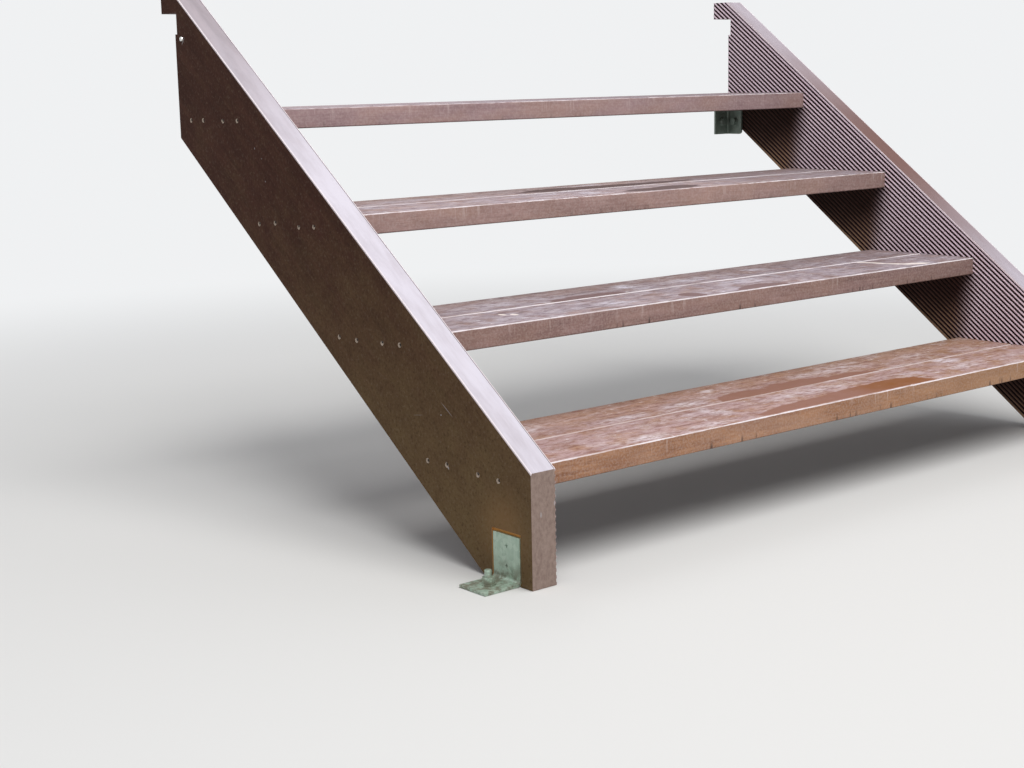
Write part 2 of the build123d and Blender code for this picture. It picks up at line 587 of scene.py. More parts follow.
# Grain of the hardwood, along X of the place it is given
grain, given, result = new_group(
    "hardwood_grain",
    {"Along": "Vector", "Dark": "Color", "Light": "Color", "Pores": "Float"},
    {"Color": "Color", "Height": "Float"},
)
figure = noise(stretch(given["Along"], (1.8, 34.0, 34.0)), 1.6, 4.0, 0.6, 0.4)
fibres = noise(given["Along"], (9.0, 300.0, 300.0), 3.0, 0.6)
mottle = noise(given["Along"], (11.0, 26.0, 26.0), 4.0, 0.65)
pore = times(ramp(noise(given["Along"], (40.0, 700.0, 700.0), 1.0), 0.58, 0.70), given["Pores"])
figure = ramp(figure, 0.30, 0.70, 0.36)
fibre_light = ramp(fibres, 0.28, 0.74, 0.26)
mottle = ramp(mottle, 0.30, 0.70, 0.38)
timber = blend(plus(figure, fibre_light, mottle), given["Dark"], given["Light"])
put(blend(pore, timber, (0.020, 0.010, 0.008)), result["Color"])
put(minus(times(fibre_light, 2.0), pore), result["Height"])

# Film: greyed, bleached wood on whatever faces the sky, thin where it has been rubbed; its pale colour
# is also a painted sky sheen
film_and_sheen, given, result = new_group(
    "sky_film_and_sheen",
    {"Color": "Color", "Film": "Color", "Place": "Vector", "From": "Float", "To": "Float",
     "Amount": "Float", "Patchy": "Float"},
    {"Color": "Color"},
)
upwards = ramp(facing(given["Place"])[2], given["From"], given["To"])
patches = noise(given["Place"], (5.0, 24.0, 24.0), 5.0, 0.66)
patches = times(ramp(patches, 0.62, 0.30), given["Patchy"])
covered = maths("MULTIPLY", times(upwards, minus(1.0, patches)), given["Amount"], clamp=True)
put(blend(covered, given["Color"], given["Film"]), result["Color"])

# Patch: one oval with a ragged edge
patch, given, result = new_group(
    "oval_patch",
    {"Place": "Vector", "Centre": "Vector", "Turn": "Vector", "Size": "Vector", "Wobble": "Float",
     "Ragged": "Float", "Soft": "Float"},
    {"Mask": "Float"},
)
fit_oval = new_node("ShaderNodeMapping", given["Place"])
fit_oval.vector_type = "TEXTURE"
for name, socket in zip(("Place", "Centre", "Turn", "Size"), fit_oval.inputs):
    put(given[name], socket)
reach = new_node("ShaderNodeVectorMath", given["Place"])
reach.operation = "LENGTH"
put(fit_oval.outputs["Vector"], reach.inputs[0])
edge_at = plus(reach.outputs["Value"], times(given["Wobble"], given["Ragged"]))
put(ramp(edge_at, 1.0, minus(1.0, given["Soft"])), result["Mask"])


def oval(place, wobble, centre, size, turn=(0.0, 0.0, 0.0), ragged=0.5, soft=0.3):
    """The mask of one oval patch."""
    return use_group(patch, Place=place, Centre=centre, Turn=turn, Size=size, Wobble=wobble,
                     Ragged=ragged, Soft=soft)["Mask"]


stringer_material, shader, place = new_material("oiled_stringer", 0.50, 0.03)
across, fore, height = parts_of(place)
_, along, depth = parts_of(stretch(place, (1.0, 1.0, 1.0), turn=(-pitch, 0.0, 0.0)))
depth = minus(depth, head_line * cos(pitch))  # 0 on the top edge
board_place = as_place(along, across, depth)
out = maths("ABSOLUTE", minus(across, middle))
sunk = minus(out, inner_reach)  # 0 on the reeds' crests
outside = ramp(out, outer_reach - 0.0010, outer_reach - 0.0004)
inside = ramp(sunk, 0.0030, 0.0022)
_, facing_front, facing_up = facing(place)

# Shelter and painted shade: the inner faces stay unbleached behind and below each tread, and are
# painted dark there as the treads' shade
steps_down = maths("FLOOR", maths("DIVIDE", plus(height, tread_thickness), -rise))
behind = plus(fore, nosing_offset, times(steps_down, going))
under = minus(0.0, plus(height, tread_thickness, times(steps_down, rise)))
shelter_and_shade = ramp(minus(behind, times(under, 0.22)), -0.034, 0.034)
shelter_and_shade = times(shelter_and_shade, inside, ramp(height, -0.03, -0.04))
exposed = minus(1.0, shelter_and_shade)

# Bare wood inside, dusty old oil outside, pale end grain at the front
wood = use_group(grain, Along=board_place, Dark=(0.066, 0.030, 0.024),
                 Light=(0.190, 0.098, 0.082), Pores=0.35)
oiled = use_group(grain, Along=board_place, Dark=(0.046, 0.018, 0.013),
                  Light=(0.088, 0.038, 0.026), Pores=0.25)
blotch = minus(noise(board_place, (14.0, 20.0, 20.0), 6.0, 0.78), 0.5)
# Painted bounced light: the outer face turns lighter and warmer towards the foot
painted_bounce_light = maths("ADD", ramp(height, -0.05, -0.75, 0.78), times(blotch, 0.9), clamp=True)
oiled = blend(painted_bounce_light, oiled["Color"], (0.168, 0.114, 0.055))
dust = noise(place, 190.0, 3.0, 0.7)
oiled = blend(ramp(dust, 0.52, 0.74, 0.30), oiled, (0.210, 0.165, 0.125))
oiled = blend(ramp(dust, 0.48, 0.28, 0.45), oiled, (0.030, 0.016, 0.010))
skin = blend(outside, wood["Color"], oiled)
# Dirt and painted shade: the grooves between the reeds are darkened almost to black
dirt_and_shade = times(inside, ramp(sunk, 0.00036, 0.00064, 0.985))
skin = blend(dirt_and_shade, skin, (0.015, 0.006, 0.009))
end_grain = noise(place, (190.0, 190.0, 120.0), 3.0, 0.7)
cut_end = blend(end_grain, (0.168, 0.112, 0.093), (0.440, 0.340, 0.295))
skin = blend(ramp(facing_front, -0.80, -0.97), skin, cut_end)

# Bleaching and painted sky sheen: most on the left board's top edge, less towards the head and on the
# right board
far_side = maths("GREATER_THAN", across, middle)
left_bleach_and_sheen = ramp(fore, -0.02, -0.52, start=0.51)
right_bleach_and_sheen = plus(ramp(fore, -0.46, -0.04, 0.60, start=0.02), ramp(fore, -0.50, -0.94, 0.74))
bleach_and_sheen = plus(left_bleach_and_sheen, times(far_side, minus(right_bleach_and_sheen, left_bleach_and_sheen)))
on_reeds = times(exposed, ramp(sunk, 0.00115, 0.00050))
bleach_and_sheen = plus(bleach_and_sheen, times(inside, minus(on_reeds, bleach_and_sheen)))
warm = times(far_side, ramp(facing_up, 0.2, 0.7, 0.7))
skin = blend(warm, skin, (0.238, 0.134, 0.118))
sky_colour = blend(far_side, (0.70, 0.665, 0.745), (0.72, 0.695, 0.80))
skin = use_group(film_and_sheen, Color=skin, Place=board_place, Film=sky_colour, From=0.02, To=0.62,
                 Amount=bleach_and_sheen, Patchy=0.22)["Color"]
# Pale crests on the exposed reeds: bleached wood and a painted sky sheen
crests = times(inside, ramp(sunk, 0.00047, 0.00026, 0.96))
skin = blend(times(crests, exposed), skin, (0.90, 0.71, 0.81))
# Painted light and shade in the shelter: the crests are lit warm again lower down, and the rest is
# painted dark, most under the two highest treads
lit_again = times(shelter_and_shade, ramp(under, 0.035, 0.130))
skin = blend(times(crests, lit_again), skin, (0.41, 0.260, 0.165))
shade = times(minus(shelter_and_shade, lit_again), ramp(steps_down, 1.2, 1.8, 0.34, start=0.50))
skin = blend(shade, skin, (0.020, 0.014, 0.009))

# Worn arrises of the top edge, drawn as pale lines that are partly a painted highlight
for corner, width in ((outer_reach, 0.0030), (inner_reach, 0.0020)):
    off = minus(out, corner)
    off = plus(times(off, off), times(depth, depth))
    worn_and_lit_line = ramp(maths("POWER", off, 0.5), width, width * 0.55, 0.85)
    skin = blend(worn_and_lit_line, skin, (0.88, 0.80, 0.84))

# Raw wood in the rebate, where the saw went wider than the bracket, and painted bounced light round it
raw = times(band(fore, rebate_low - 0.001, rebate_high + 0.001, 0.0004),
            ramp(height, rebate_top + 0.0006, rebate_top - 0.0002))
raw = times(raw, band(out, outer_reach - rebate_depth - 0.0010, outer_reach - 0.0007, 0.0002))
skin = blend(raw, skin, (0.72, 0.36, 0.11))
# Painted bounced light: warmer round the rebate
painted_bounce_glow = oval(place, blotch, (outer_face, -0.962, rebate_top), (0.010, 0.085, 0.085),
            ragged=0.9, soft=0.95)
skin = blend(times(painted_bounce_glow, 0.34), skin, (0.33, 0.190, 0.085))

# Scratches and specks on the left board
wobble = minus(noise(place, (26.0, 70.0, 70.0), 4.0, 0.6), 0.5)
for centre, size, turn, strength in (
    ((outer_face, -0.8275, -0.4753), (0.003, 0.0220, 0.0010), 34.4, 0.38),
    ((outer_face, -0.8248, -0.5680), (0.003, 0.0085, 0.0024), 58.5, 0.80),
    ((outer_face, -0.7498, -0.4948), (0.003, 0.0155, 0.0008), -8.2, 0.16),
    ((outer_face, -0.8112, -0.4859), (0.003, 0.0018, 0.0018), 0.0, 0.60),
    ((outer_face, -0.2723, -0.0688), (0.003, 0.0017, 0.0024), 0.0, 0.60),
    ((outer_face, -0.2950, -0.0867), (0.003, 0.0016, 0.0016), 0.0, 0.45),
    ((outer_face, -0.3043, -0.1276), (0.003, 0.0018, 0.0018), 0.0, 0.55),
    ((outer_face, -0.0290, 0.1290), (0.003, 0.0110, 0.0012), -48.0, 0.60),
    ((-0.0055, front_cut, -0.6137), (0.0014, 0.003, 0.0060), 0.0, 0.75),
    ((0.0224, front_cut, -0.5998), (0.0014, 0.003, 0.0050), 0.0, 0.75),
):
    mark = oval(place, wobble, centre, size, (radians(turn), 0.0, 0.0), 0.35, 0.5)
    skin = blend(times(mark, strength), skin, (0.46, 0.44, 0.46))
put(skin, shader.inputs["Base Color"])
bump(shader, wood["Height"], 0.25, 0.0005)

for side, board in (("left", left_board), ("right", right_board)):
    dress(board, stringer_material)
    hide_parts(f"{side}_stringer")
    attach(board, "root")


# Treads
# Two hardwood boards to a tread, their ends let into the stringers. Use has rubbed their front
# arrises bright, weather has greyed their tops, and rain stands on them in long patches. A painted
# highlight lies on the bright arrises and a painted sky sheen on the greyed tops.
board_width, seam, tread_arris = 0.139, 0.003, 0.0028
back_of_highest = -0.002
seam_middle = board_width + seam / 2
rub_reach, rub_depth = 0.006, 0.0016


def tread_board(name, low, high, seed):
    """One tread board with eased long edges, a slightly uneven top and a worn front arris."""
    def runs(axis, length):
        return lambda edge: abs(edge.verts[0].co[axis] - edge.verts[1].co[axis]) > length

    board = block(low, high)
    board.name = f"{name}_timber"
    ease(board, tread_arris, 4, runs(0, 0.5))
    open_mesh(board)
    pick(board, "EDGE", runs(0, 0.5))
    bpy.ops.mesh.subdivide(number_cuts=119)
    pick(board, "EDGE", runs(1, 0.05))
    bpy.ops.mesh.subdivide(number_cuts=7)
    close_mesh()

    worn = board.vertex_groups.new(name="worn")
    wear_texture = bpy.data.textures.new(f"{name}_wear", "CLOUDS")
    wear_texture.noise_scale = 0.02 + 0.002 * seed
    wear_texture.noise_depth = 3
    for vertex in board.data.vertices:
        fore = vertex.co.y - low[1]
        down = high[2] - vertex.co.z
        rubbed = max(0.0, 1.0 - hypot(fore, down) / rub_reach)
        lying = 0.12 if down < 1e-4 else 0.0
        worn.add([vertex.index], max(rubbed, lying), "REPLACE")
    wear = board.modifiers.new("wear", "DISPLACE")
    wear.texture = wear_texture
    wear.texture_coords = "LOCAL"
    wear.vertex_group = "worn"
    wear.strength = -rub_depth
    wear.mid_level = 0.30
    bpy.ops.object.modifier_apply(modifier=wear.name)
    board.vertex_groups.clear()
    return board


treads = []
for number in range(1, 5):
    front = -nosing_offset - (number - 1) * going
    top = -(number - 1) * rise
    for part, start, stop in (
        ("front", front, front + board_width),
        ("back", front + board_width + seam, front + tread_depth if number > 1 else back_of_highest),
    ):
        name = f"tread_{number}_{part}_board"
        low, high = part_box(name)
        board = tread_board(name, (low.x, start, top - tread_thickness), (high.x, stop, top), number)
        treads.append((name, board))

tread_material, shader, place = new_material("walked_tread", 0.55, 0.12)
across, fore, height = parts_of(place)
steps_down = maths("ROUND", maths("DIVIDE", plus(height, tread_thickness / 2), -rise))
fore_in = plus(fore, nosing_offset, times(steps_down, going))
down = minus(0.0, plus(height, times(steps_down, rise)))
is_back = maths("GREATER_THAN", fore_in, seam_middle)
shift = plus(times(steps_down, 0.37), times(is_back, 0.91))
board_place = as_place(plus(across, shift), plus(fore, shift), height)
highest = ramp(steps_down, 0.6, 0.4)
second = band(steps_down, 0.5, 1.5, 0.1)
third = band(steps_down, 1.5, 2.5, 0.1)
lowest = ramp(steps_down, 2.4, 2.6)
_, facing_front, facing_up = facing(place)
tops = ramp(facing_up, 0.6, 0.95)
fronts = ramp(facing_front, -0.7, -0.9)

# Wood: redder on the lowest tread, darker towards the right, painted shade nearly black underneath
upper_wood = use_group(grain, Along=board_place, Dark=(0.205, 0.120, 0.108),
                       Light=(0.470, 0.310, 0.290), Pores=0.25)
low_wood = use_group(grain, Along=board_place, Dark=(0.21, 0.088, 0.050),
                     Light=(0.50, 0.266, 0.150), Pores=0.30)
skin = blend(lowest, upper_wood["Color"], low_wood["Color"])
skin = blend(times(highest, 0.40), skin, (0.40, 0.290, 0.330))
drift = noise(board_place, (5.0, 13.0, 13.0), 3.0, 0.6)
skin = blend(ramp(drift, 0.38, 0.64, 0.32), skin, (0.46, 0.285, 0.205))
skin = blend(times(second, 0.14), skin, (0.60, 0.42, 0.37))
golden = times(ramp(across, 0.60, 1.40, 0.50), lowest)
skin = blend(golden, skin, (0.40, 0.220, 0.100))
skin = blend(times(third, 0.16), skin, (0.100, 0.064, 0.060))
right_end = times(ramp(across, 0.90, 1.45, 0.24), minus(1.0, lowest))
skin = blend(right_end, skin, (0.110, 0.070, 0.062))
speckle = noise(place, 230.0, 2.0, 0.6)
skin = blend(ramp(speckle, 0.40, 0.66, 0.22), skin, (0.60, 0.500, 0.470))
# Painted shade on the undersides
skin = blend(ramp(facing_up, -0.5, -0.9), skin, (0.075, 0.040, 0.030))

# Greyed tops: a frosted film in clouds with a painted sky sheen, thinner under the tread above, where
# the thinning also paints that tread's shade
amount = minus(minus(0.68, times(lowest, 0.09)), times(plus(second, is_back), 0.09))
overhung = ramp(fore_in, 0.170, 0.262)
amount = times(amount, minus(1.0, times(overhung, 0.60)))
sky_colour = blend(lowest, (0.46, 0.405, 0.475), (0.55, 0.405, 0.445))
skin = use_group(film_and_sheen, Color=skin, Place=stretch(board_place, (4.5, 1.0, 1.0)), Film=sky_colour,
                 From=0.45, To=0.98, Amount=amount, Patchy=0.95)["Color"]
lines = noise(board_place, (4.0, 80.0, 80.0), 5.0, 0.75, 0.3)
dark_lines = times(ramp(lines, 0.50, 0.62, 0.42), tops)
skin = blend(dark_lines, skin, blend(lowest, (0.180, 0.142, 0.146), (0.240, 0.120, 0.090)))

# Frost-like bloom, heaviest in a few places, and fine white specks that are partly painted glints
bloom = noise(board_place, (8.0, 24.0, 24.0), 7.0, 0.72, 0.4)
bloom_grain = noise(board_place, (36.0, 84.0, 84.0), 5.0, 0.75)
mottled = times(ramp(bloom_grain, 0.50, 0.37, 0.52), tops)
skin = blend(mottled, skin, blend(lowest, (0.165, 0.125, 0.128), (0.230, 0.110, 0.086)))
wobble = minus(noise(place, 36.0, 4.0, 0.6), 0.5)


def on_tread(tread, x, y, length, width, deep=0.02, uneven=wobble, **edge):
    """The mask of one oval patch on top of a tread, the highest being tread 1."""
    return oval(place, uneven, (x, y, -(tread - 1) * rise), (length, width, deep), **edge)


heavy = 0.0
for tread, x, y, length, width, strength in (
    (4, 0.290, -0.964, 0.075, 0.028, 1.0),
    (4, 0.450, -0.966, 0.085, 0.020, 0.7),
    (4, 0.530, -0.893, 0.040, 0.060, 0.7),
    (4, 0.370, -0.822, 0.090, 0.024, 0.7),
    (4, 0.540, -0.812, 0.075, 0.032, 0.8),
    (4, 0.670, -0.751, 0.055, 0.016, 0.8),
    (4, 0.180, -0.781, 0.045, 0.030, 0.6),
    (4, 0.980, -0.774, 0.150, 0.028, 0.6),
    (4, 0.800, -0.890, 0.240, 0.030, 0.5),
    (4, 1.250, -0.865, 0.045, 0.045, 1.0),
    (4, 1.230, -0.930, 0.070, 0.034, 0.7),
    (3, 0.660, -0.529, 0.045, 0.040, 1.0),
    (3, 0.830, -0.544, 0.140, 0.036, 0.7),
    (3, 1.040, -0.524, 0.045, 0.024, 0.8),
    (3, 0.300, -0.539, 0.130, 0.045, 0.5),
    (3, 0.480, -0.684, 0.060, 0.048, 0.7),
    (3, 0.880, -0.644, 0.110, 0.048, 0.5),
    (2, 0.800, -0.257, 0.110, 0.022, 0.9),
    (2, 0.300, -0.292, 0.140, 0.050, 0.4),
    (2, 0.660, -0.427, 0.040, 0.050, 0.8),
):
    mask = on_tread(tread, x, y, length, width, ragged=1.2, soft=0.9)
    heavy = larger(heavy, times(mask, strength))
clouds = ramp(noise(board_place, (3.5, 8.0, 8.0), 3.0), 0.40, 0.60, 1.15, start=0.30)
bloom = times(ramp(bloom, 0.47, 0.65, 0.42), clouds)
bloom = larger(bloom, times(heavy, 0.95))
bloom = times(bloom, ramp(bloom_grain, 0.38, 0.58, start=0.15))
frost = blend(lowest, (0.76, 0.725, 0.830), (0.79, 0.710, 0.760))
skin = blend(times(bloom, tops), skin, frost)
# White specks, partly painted glints
specks_and_glints = times(ramp(bloom_grain, 0.60, 0.68, 0.75), tops)
skin = blend(specks_and_glints, skin, (0.84, 0.79, 0.83))

# Duller: the highest tread, and the second one towards its right end
dull = plus(times(second, ramp(across, 0.92, 1.20, 0.34)),
            times(highest, ramp(across, 0.10, 1.40, 0.42, start=0.08)))
dull = times(dull, tops)
skin = blend(dull, skin, (0.150, 0.120, 0.124))

# A split sliver and two drops of paint on the third tread
for x, y, length, width, turn in (
    (1.298, -0.618, 0.024, 0.0095, -60.0),
    (1.308, -0.648, 0.030, 0.0105, -85.0),
    (1.322, -0.684, 0.028, 0.0110, -60.0),
    (1.352, -0.713, 0.040, 0.0150, -22.0),
    (0.241, -0.649, 0.007, 0.0130, 0.0),
    (0.257, -0.662, 0.008, 0.0110, 0.0),
):
    mark = on_tread(3, x, y, length, width, deep=0.01, turn=(0.0, 0.0, radians(turn)), ragged=0.5,
                    soft=0.35)
    skin = blend(times(mark, 0.9), skin, (0.95, 0.86, 0.80))

# Drips on the front edges: pale ones from above, dark ones gathered at the lower arris
dripping = ramp(noise(place, (4.0, 1.0, 9.0), 2.0), 0.46, 0.56)
columns = noise(place, (125.0, 1.0, 6.0), 2.0, 0.6)
drips = times(ramp(columns, 0.58, 0.68, 0.34), ramp(down, 0.034, 0.004), dripping)
skin = blend(times(drips, fronts), skin, (0.66, 0.55, 0.52))
columns = noise(place, (110.0, 1.0, 8.0), 1.0)
drips = times(ramp(columns, 0.60, 0.70, 0.75), ramp(down, 0.020, 0.034))
drips = times(drips, ramp(noise(place, (5.0, 1.0, 1.0), 2.0), 0.48, 0.58))
drips = times(drips, minus(1.0, times(plus(highest, second), 0.65)))
skin = blend(times(drips, fronts), skin, (0.045, 0.028, 0.026))

# Standing rain: long pools, each kept to its own board, 0 in front and 1 behind
uneven = minus(noise(place, (7.0, 20.0, 20.0), 3.0), 0.5)
uneven = plus(times(uneven, 0.9), times(wobble, 0.4))
pools = [0.0, 0.0]
for tread, part, x, y, length, width in (
    (4, 1, 0.690, -0.843, 0.088, 0.052),
    (4, 1, 0.860, -0.843, 0.125, 0.054),
    (4, 1, 0.965, -0.843, 0.100, 0.036),
    (4, 0, 0.705, -0.972, 0.142, 0.038),
    (4, 0, 0.860, -0.972, 0.160, 0.046),
    (4, 0, 0.978, -0.972, 0.108, 0.052),
    (3, 1, 0.510, -0.600, 0.118, 0.046),
    (3, 0, 0.662, -0.712, 0.028, 0.028),
    (3, 0, 0.838, -0.736, 0.084, 0.042),
    (2, 1, 0.810, -0.311, 0.255, 0.031),
    (2, 1, 0.680, -0.298, 0.080, 0.034),
    (2, 0, 0.840, -0.460, 0.118, 0.033),
    (2, 0, 0.890, -0.443, 0.066, 0.034),
):
    mask = on_tread(tread, x, y, length, width, uneven=uneven, ragged=1.0, soft=0.12)
    pools[part] = larger(pools[part], mask)
wet = plus(times(pools[1], is_back), times(pools[0], minus(1.0, is_back)))
wet = times(wet, tops, ramp(fore_in, 0.003, 0.007))
ruddy = times(ramp(across, 0.82, 0.94), minus(1.0, is_back))
wet_low = blend(ruddy, (0.305, 0.155, 0.115), (0.260, 0.100, 0.036))
wet_wood = blend(lowest, blend(second, (0.230, 0.150, 0.146), (0.135, 0.093, 0.090)), wet_low)
skin = blend(times(wet, 0.92), skin, wet_wood)

# Arrises rubbed bright and given a painted highlight, along the front and along the seam between the
# boards
arris_reach = maths("POWER", plus(times(fore_in, fore_in), times(down, down)), 0.5)
ragged = times(noise(board_place, (34.0, 90.0, 90.0), 5.0, 0.7), 0.0028)
front_edge = plus(ragged, times(maths("GREATER_THAN", steps_down, 1.5), 0.0004))
front_line = ramp(arris_reach, plus(front_edge, 0.0007), minus(front_edge, 0.0001), 0.93)
seam_reach = maths("ABSOLUTE", minus(fore_in, seam_middle))
bright = plus(second, third)
seam_edge = plus(ragged, times(bright, 0.0014))
seam_line = times(ramp(seam_reach, plus(seam_edge, 0.0026), plus(seam_edge, 0.0016)),
                  ramp(down, 0.0030, 0.0022), plus(0.55, times(bright, 0.40)))
rubbed_and_lit_seam = times(ramp(seam_reach, 0.009, 0.004, 0.80), times(second, tops))
line = times(larger(front_line, seam_line, rubbed_and_lit_seam), minus(1.0, times(highest, 0.35)))
line_breaks = noise(board_place, (7.0, 20.0, 20.0), 4.0)
skin = blend(times(line, ramp(line_breaks, 0.30, 0.55, start=0.35)), skin, (0.90, 0.84, 0.87))
put(skin, shader.inputs["Base Color"])
matte = larger(wet, times(ramp(bloom_grain, 0.52, 0.40), tops))
matte = maths("MAXIMUM", matte, times(dull, 2.2), clamp=True)
put(plus(0.55, times(matte, 0.43)), shader.inputs["Roughness"])
bump(shader, times(upper_wood["Height"], minus(1.0, wet)), 0.35, 0.0006)

for name, board in treads:
    dress(board, tread_material)
    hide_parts(name)
    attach(board, "root")


# Tread screws
# Countersunk stainless screws hold every board through the stringers, two to an end, with their
# heads just under the surface. The filler over them has mostly fallen out and bleached.
head_radius, head_end_radius, head_height, head_sink = 0.0034, 0.0020, 0.0026, 0.0010
cross_width, cross_length, cross_depth = 0.0008, 0.0038, 0.0015
crumb_radius, crumb_end_radius, crumb_height, crumb_sink = 0.0043, 0.0036, 0.0018, 0.0006
crumb_hole_radius, crumb_hole_place = 0.0031, (0.0, -0.0004, 0.0018)


def placed_copy(piece, place, turn):
    """A copy of a piece modelled at the origin, turned and put in its place."""
    only(piece)
    bpy.ops.object.duplicate()
    copy = bpy.context.object
    copy.rotation_euler = turn
    copy.location = place
    settle(copy)
    return copy


def cut_cross(head, start, stop, y, z, width, length):
    """Sink a cross recess into a screw's head, between two planes."""
    for wide, high in ((width, length), (length, width)):
        cut_away(head, block((start, y - wide / 2, z - high / 2), (stop, y + wide / 2, z + high / 2)))


screw = rod((head_height / 2, 0.0, 0.0), head_radius, head_height, sideways, 24, head_end_radius)
cut_cross(screw, -0.001, cross_depth, 0.0, 0.0, cross_width, cross_length)
crumb = rod((0.0, 0.0, 0.0), crumb_radius, crumb_height, sideways, 26, crumb_end_radius)
cut_away(crumb, rod(crumb_hole_place, crumb_hole_radius, 0.01, sideways, 20))
open_mesh(crumb)
bpy.ops.transform.vertex_random(offset=0.0003, uniform=0.5, seed=5)
close_mesh()

heads, filler = [], []
for y, z in screw_places:
    turn = (scatter.uniform(0.0, pi), 0.0, 0.0)
    heads.append(placed_copy(screw, (outer_face + head_sink, y, z), turn))
    turn = (scatter.uniform(-0.2, 1.5), 0.0, 0.0)
    filler.append(placed_copy(crumb, (outer_face + crumb_sink, y, z), turn))
bpy.data.objects.remove(screw)
bpy.data.objects.remove(crumb)
left_screws = join(heads, "left_tread_screws")
left_filler = join(filler, "left_screw_filler")

screw_material, shader, place = new_material("dull_stainless", 0.50, 0.3)
put(0.8, shader.inputs["Metallic"])
tarnish = ramp(noise(place, 420.0, 3.0), 0.35, 0.65)
put(blend(tarnish, (0.035, 0.028, 0.024), (0.150, 0.135, 0.125)), shader.inputs["Base Color"])
filler_material, shader, place = new_material("bleached_filler", 0.85, 0.2)
grit = noise(place, 900.0, 3.0, 0.7)
put(blend(ramp(grit, 0.35, 0.65), (0.30, 0.225, 0.170), (0.60, 0.510, 0.430)),
    shader.inputs["Base Color"])
bump(shader, grit, 0.6, 0.0003)
for piece, material, slot in (
    (left_screws, screw_material, "galvanised_steel"),
    (left_filler, filler_material, "stringer_timber"),
):
    dress(piece, material)
    for finished in (piece, mirrored(piece, piece.name.replace("left", "right"))):
        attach(finished, "root")


# Foot brackets
# Galvanised flat bar, bent once. The upright part lies in the stringer's rebate under two
# countersunk screws, and the level leg takes an anchor bolt.
bar_thickness, bar_height, bend_radius = 0.005, 0.078, 0.005
bar_low, bar_high = rebate_low + 0.003, rebate_high - 0.003
bend_x, bend_z = outer_face - bend_radius, foot_level + bar_thickness + bend_radius
leg_end = outer_face - 0.070
bar_middle = (bar_low + bar_high) / 2
anchor_x = (bend_x + leg_end) / 2
screw_heights = (foot_level + 0.02775, foot_level + 0.06025)
anchor_hole_radius, screw_hole_radius = 0.0065, 0.0040
sink_radius, sink_end_radius, sink_depth = 0.0069, 0.0039, 0.0030

left_foot = block(
    (outer_face, bar_low, bend_z),
    (outer_face + bar_thickness, bar_high, foot_level + bar_height),
)
open_mesh(left_foot)
pick(left_foot, "FACE", lambda face: face.normal.z < -0.9)
bpy.ops.mesh.spin(steps=10, angle=-pi / 2, center=(bend_x, bar_middle, bend_z), axis=(0.0, 1.0, 0.0))
bpy.ops.mesh.extrude_region_move(TRANSFORM_OT_translate={"value": (leg_end - bend_x, 0.0, 0.0)})
bpy.ops.mesh.select_all(action="SELECT")
bpy.ops.mesh.remove_doubles(threshold=0.00002)
bpy.ops.mesh.normals_make_consistent(inside=False)
close_mesh()
ease(left_foot, 0.0007, 2, outline_edge)
cut_away(left_foot, rod((anchor_x, bar_middle, foot_level), anchor_hole_radius, 0.03, sides=40))
for z in screw_heights:
    cut_away(left_foot, rod((outer_face, bar_middle, z), screw_hole_radius, 0.03, sideways))
    cut_away(left_foot, rod((outer_face + 0.0014, bar_middle, z), sink_radius, sink_depth, sideways,
                            end_radius=sink_end_radius))

steel_material, shader, place = new_material("galvanised", 0.5, 0.5)
put(0.35, shader.inputs["Metallic"])
_, _, height = parts_of(place)
spangle = new_node("ShaderNodeTexVoronoi", place)
put(130.0, spangle.inputs["Scale"])
put(place, spangle.inputs["Vector"])
steel = blend(parts_of(spangle.outputs["Color"])[0], (0.33, 0.45, 0.36), (0.46, 0.58, 0.48))
runs = noise(place, (150.0, 150.0, 16.0), 4.0, 0.65)
steel = blend(ramp(runs, 0.42, 0.70, 0.50), steel, (0.57, 0.67, 0.58))
earth = times(ramp(noise(place, 70.0, 4.0, 0.7), 0.40, 0.62),
              ramp(height, foot_level + 0.050, foot_level, 0.80))
steel = blend(earth, steel, (0.150, 0.120, 0.075))
# Painted shade: the steel high up, on the top angles under the highest tread, is darkened
steel = blend(ramp(height, -0.4, -0.2, 0.62), steel, (0.095, 0.105, 0.100))
put(steel, shader.inputs["Base Color"])
put(ramp(runs, 0.30, 0.70, 0.62, start=0.38), shader.inputs["Roughness"])
bump(shader, runs, 0.20, 0.0004)

for side, bracket in (("left", left_foot), ("right", mirrored(left_foot, "right_foot_bar"))):
    bracket.name = f"{side}_foot_bar"
    dress(bracket, steel_material)
    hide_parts(f"{side}_foot_bracket")
    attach(bracket, "root")

# Their fixings: an anchor stud with nut and washer in the leg, countersunk screws above
washer_radius, washer_hole_radius, washer_thickness = 0.0120, 0.0064, 0.0025
washer_top = foot_level + bar_thickness + washer_thickness
nut_radius, nut_height = 0.01095, 0.0100
stud_radius, stud_root_radius, thread_pitch, thread_turns = 0.0060, 0.00528, 0.00175, 16
head_radius, head_end_radius, head_height = 0.0066, 0.0038, 0.0030
cross_width, cross_length, cross_depth = 0.0014, 0.0070, 0.0022

